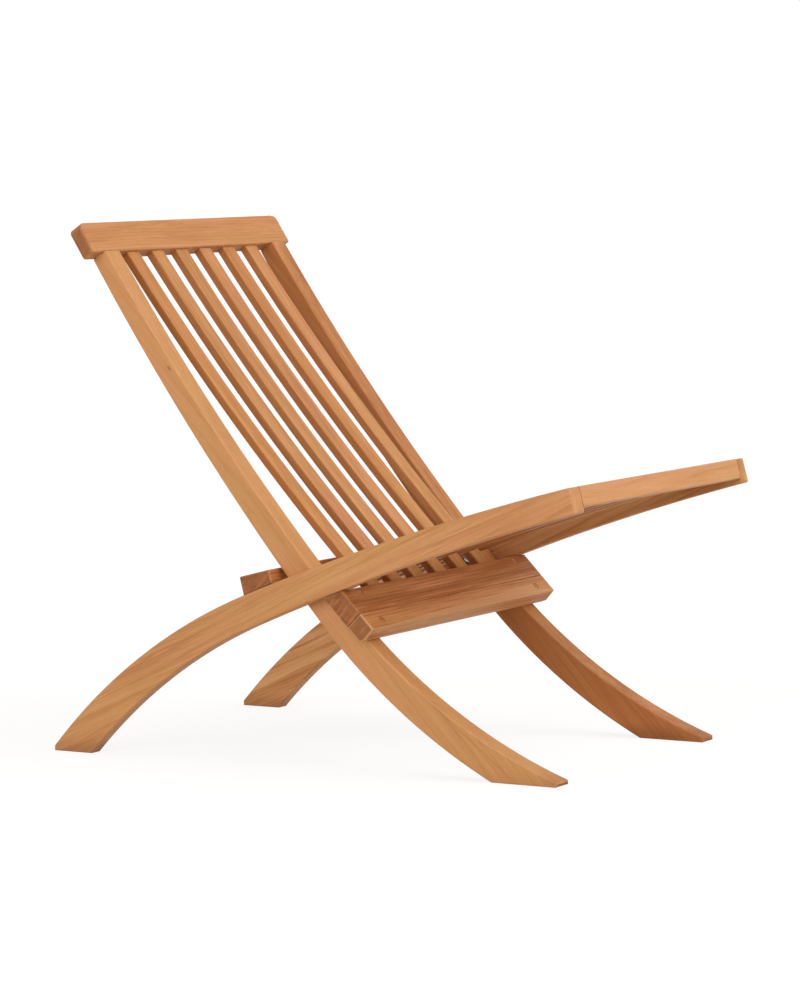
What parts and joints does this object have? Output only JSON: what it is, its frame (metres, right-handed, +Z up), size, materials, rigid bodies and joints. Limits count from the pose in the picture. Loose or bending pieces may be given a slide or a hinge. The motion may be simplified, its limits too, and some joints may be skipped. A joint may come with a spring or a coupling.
{
  "type": "folding garden chair",
  "caption": "Folding slatted teak garden chair without arms, whose curved seat frame swings up between the slats of its high back about one hinge line.",
  "frame": {"origin": "on the floor under the middle of the chair's overall width and depth", "axes": "+Z up, -Y towards the front where the sitter's feet go, +X towards the sitter's left"},
  "size_m": [0.52, 0.8824, 0.773],
  "materials": {
    "teak": "oiled satin with fine long grain",
    "teak_board": "oiled satin, redder and darker boards",
    "teak_end": "end grain of plugs and dowels",
    "stainless": "brushed"
  },
  "bodies": {
    "back_frame": {"back_stile_right": "teak", "back_stile_left": "teak", "top_rail": "teak", "back_slat_1": "teak", "back_slat_2": "teak", "back_slat_3": "teak", "back_slat_4": "teak", "back_slat_5": "teak", "back_slat_6": "teak", "front_board_upper": "teak_board", "front_board_lower": "teak_board", "board_screw_upper_right": "stainless", "board_screw_lower_right": "stainless", "board_screw_upper_left": "stainless", "board_screw_lower_left": "stainless", "board_plug_upper_right": "teak_end", "board_plug_lower_right": "teak_end", "board_plug_upper_left": "teak_end", "board_plug_lower_left": "teak_end"},
    "seat_frame": {"seat_rail_right": "teak", "seat_rail_left": "teak", "front_rail": "teak", "rear_board": "teak_board", "seat_slat_1": "teak", "seat_slat_2": "teak", "seat_slat_3": "teak", "seat_slat_4": "teak", "seat_slat_5": "teak", "seat_slat_6": "teak", "seat_slat_7": "teak", "rear_screw_right": "stainless", "rear_screw_left": "stainless", "rear_plug_right": "teak_end", "rear_plug_left": "teak_end", "slat_screw_1": "stainless", "slat_screw_2": "stainless", "slat_screw_3": "stainless", "slat_screw_4": "stainless", "slat_screw_5": "stainless", "slat_screw_6": "stainless", "slat_screw_7": "stainless", "rail_dowel_upper_right": "teak_end", "rail_dowel_lower_right": "teak_end", "rail_dowel_upper_left": "teak_end", "rail_dowel_lower_left": "teak_end", "hinge_bolt_right": "stainless", "hinge_bolt_left": "stainless", "hinge_washer_right": "stainless", "hinge_washer_left": "stainless", "hinge_insert_right": "stainless", "hinge_insert_left": "stainless"}
  },
  "joints": [
    {"name": "folding_hinge", "type": "hinge", "parent": "back_frame", "child": "seat_frame", "pos_m": [0, 0.00346, 0.2574], "axis": [-1, 0, 0], "range_deg": [0, 105]}
  ]
}
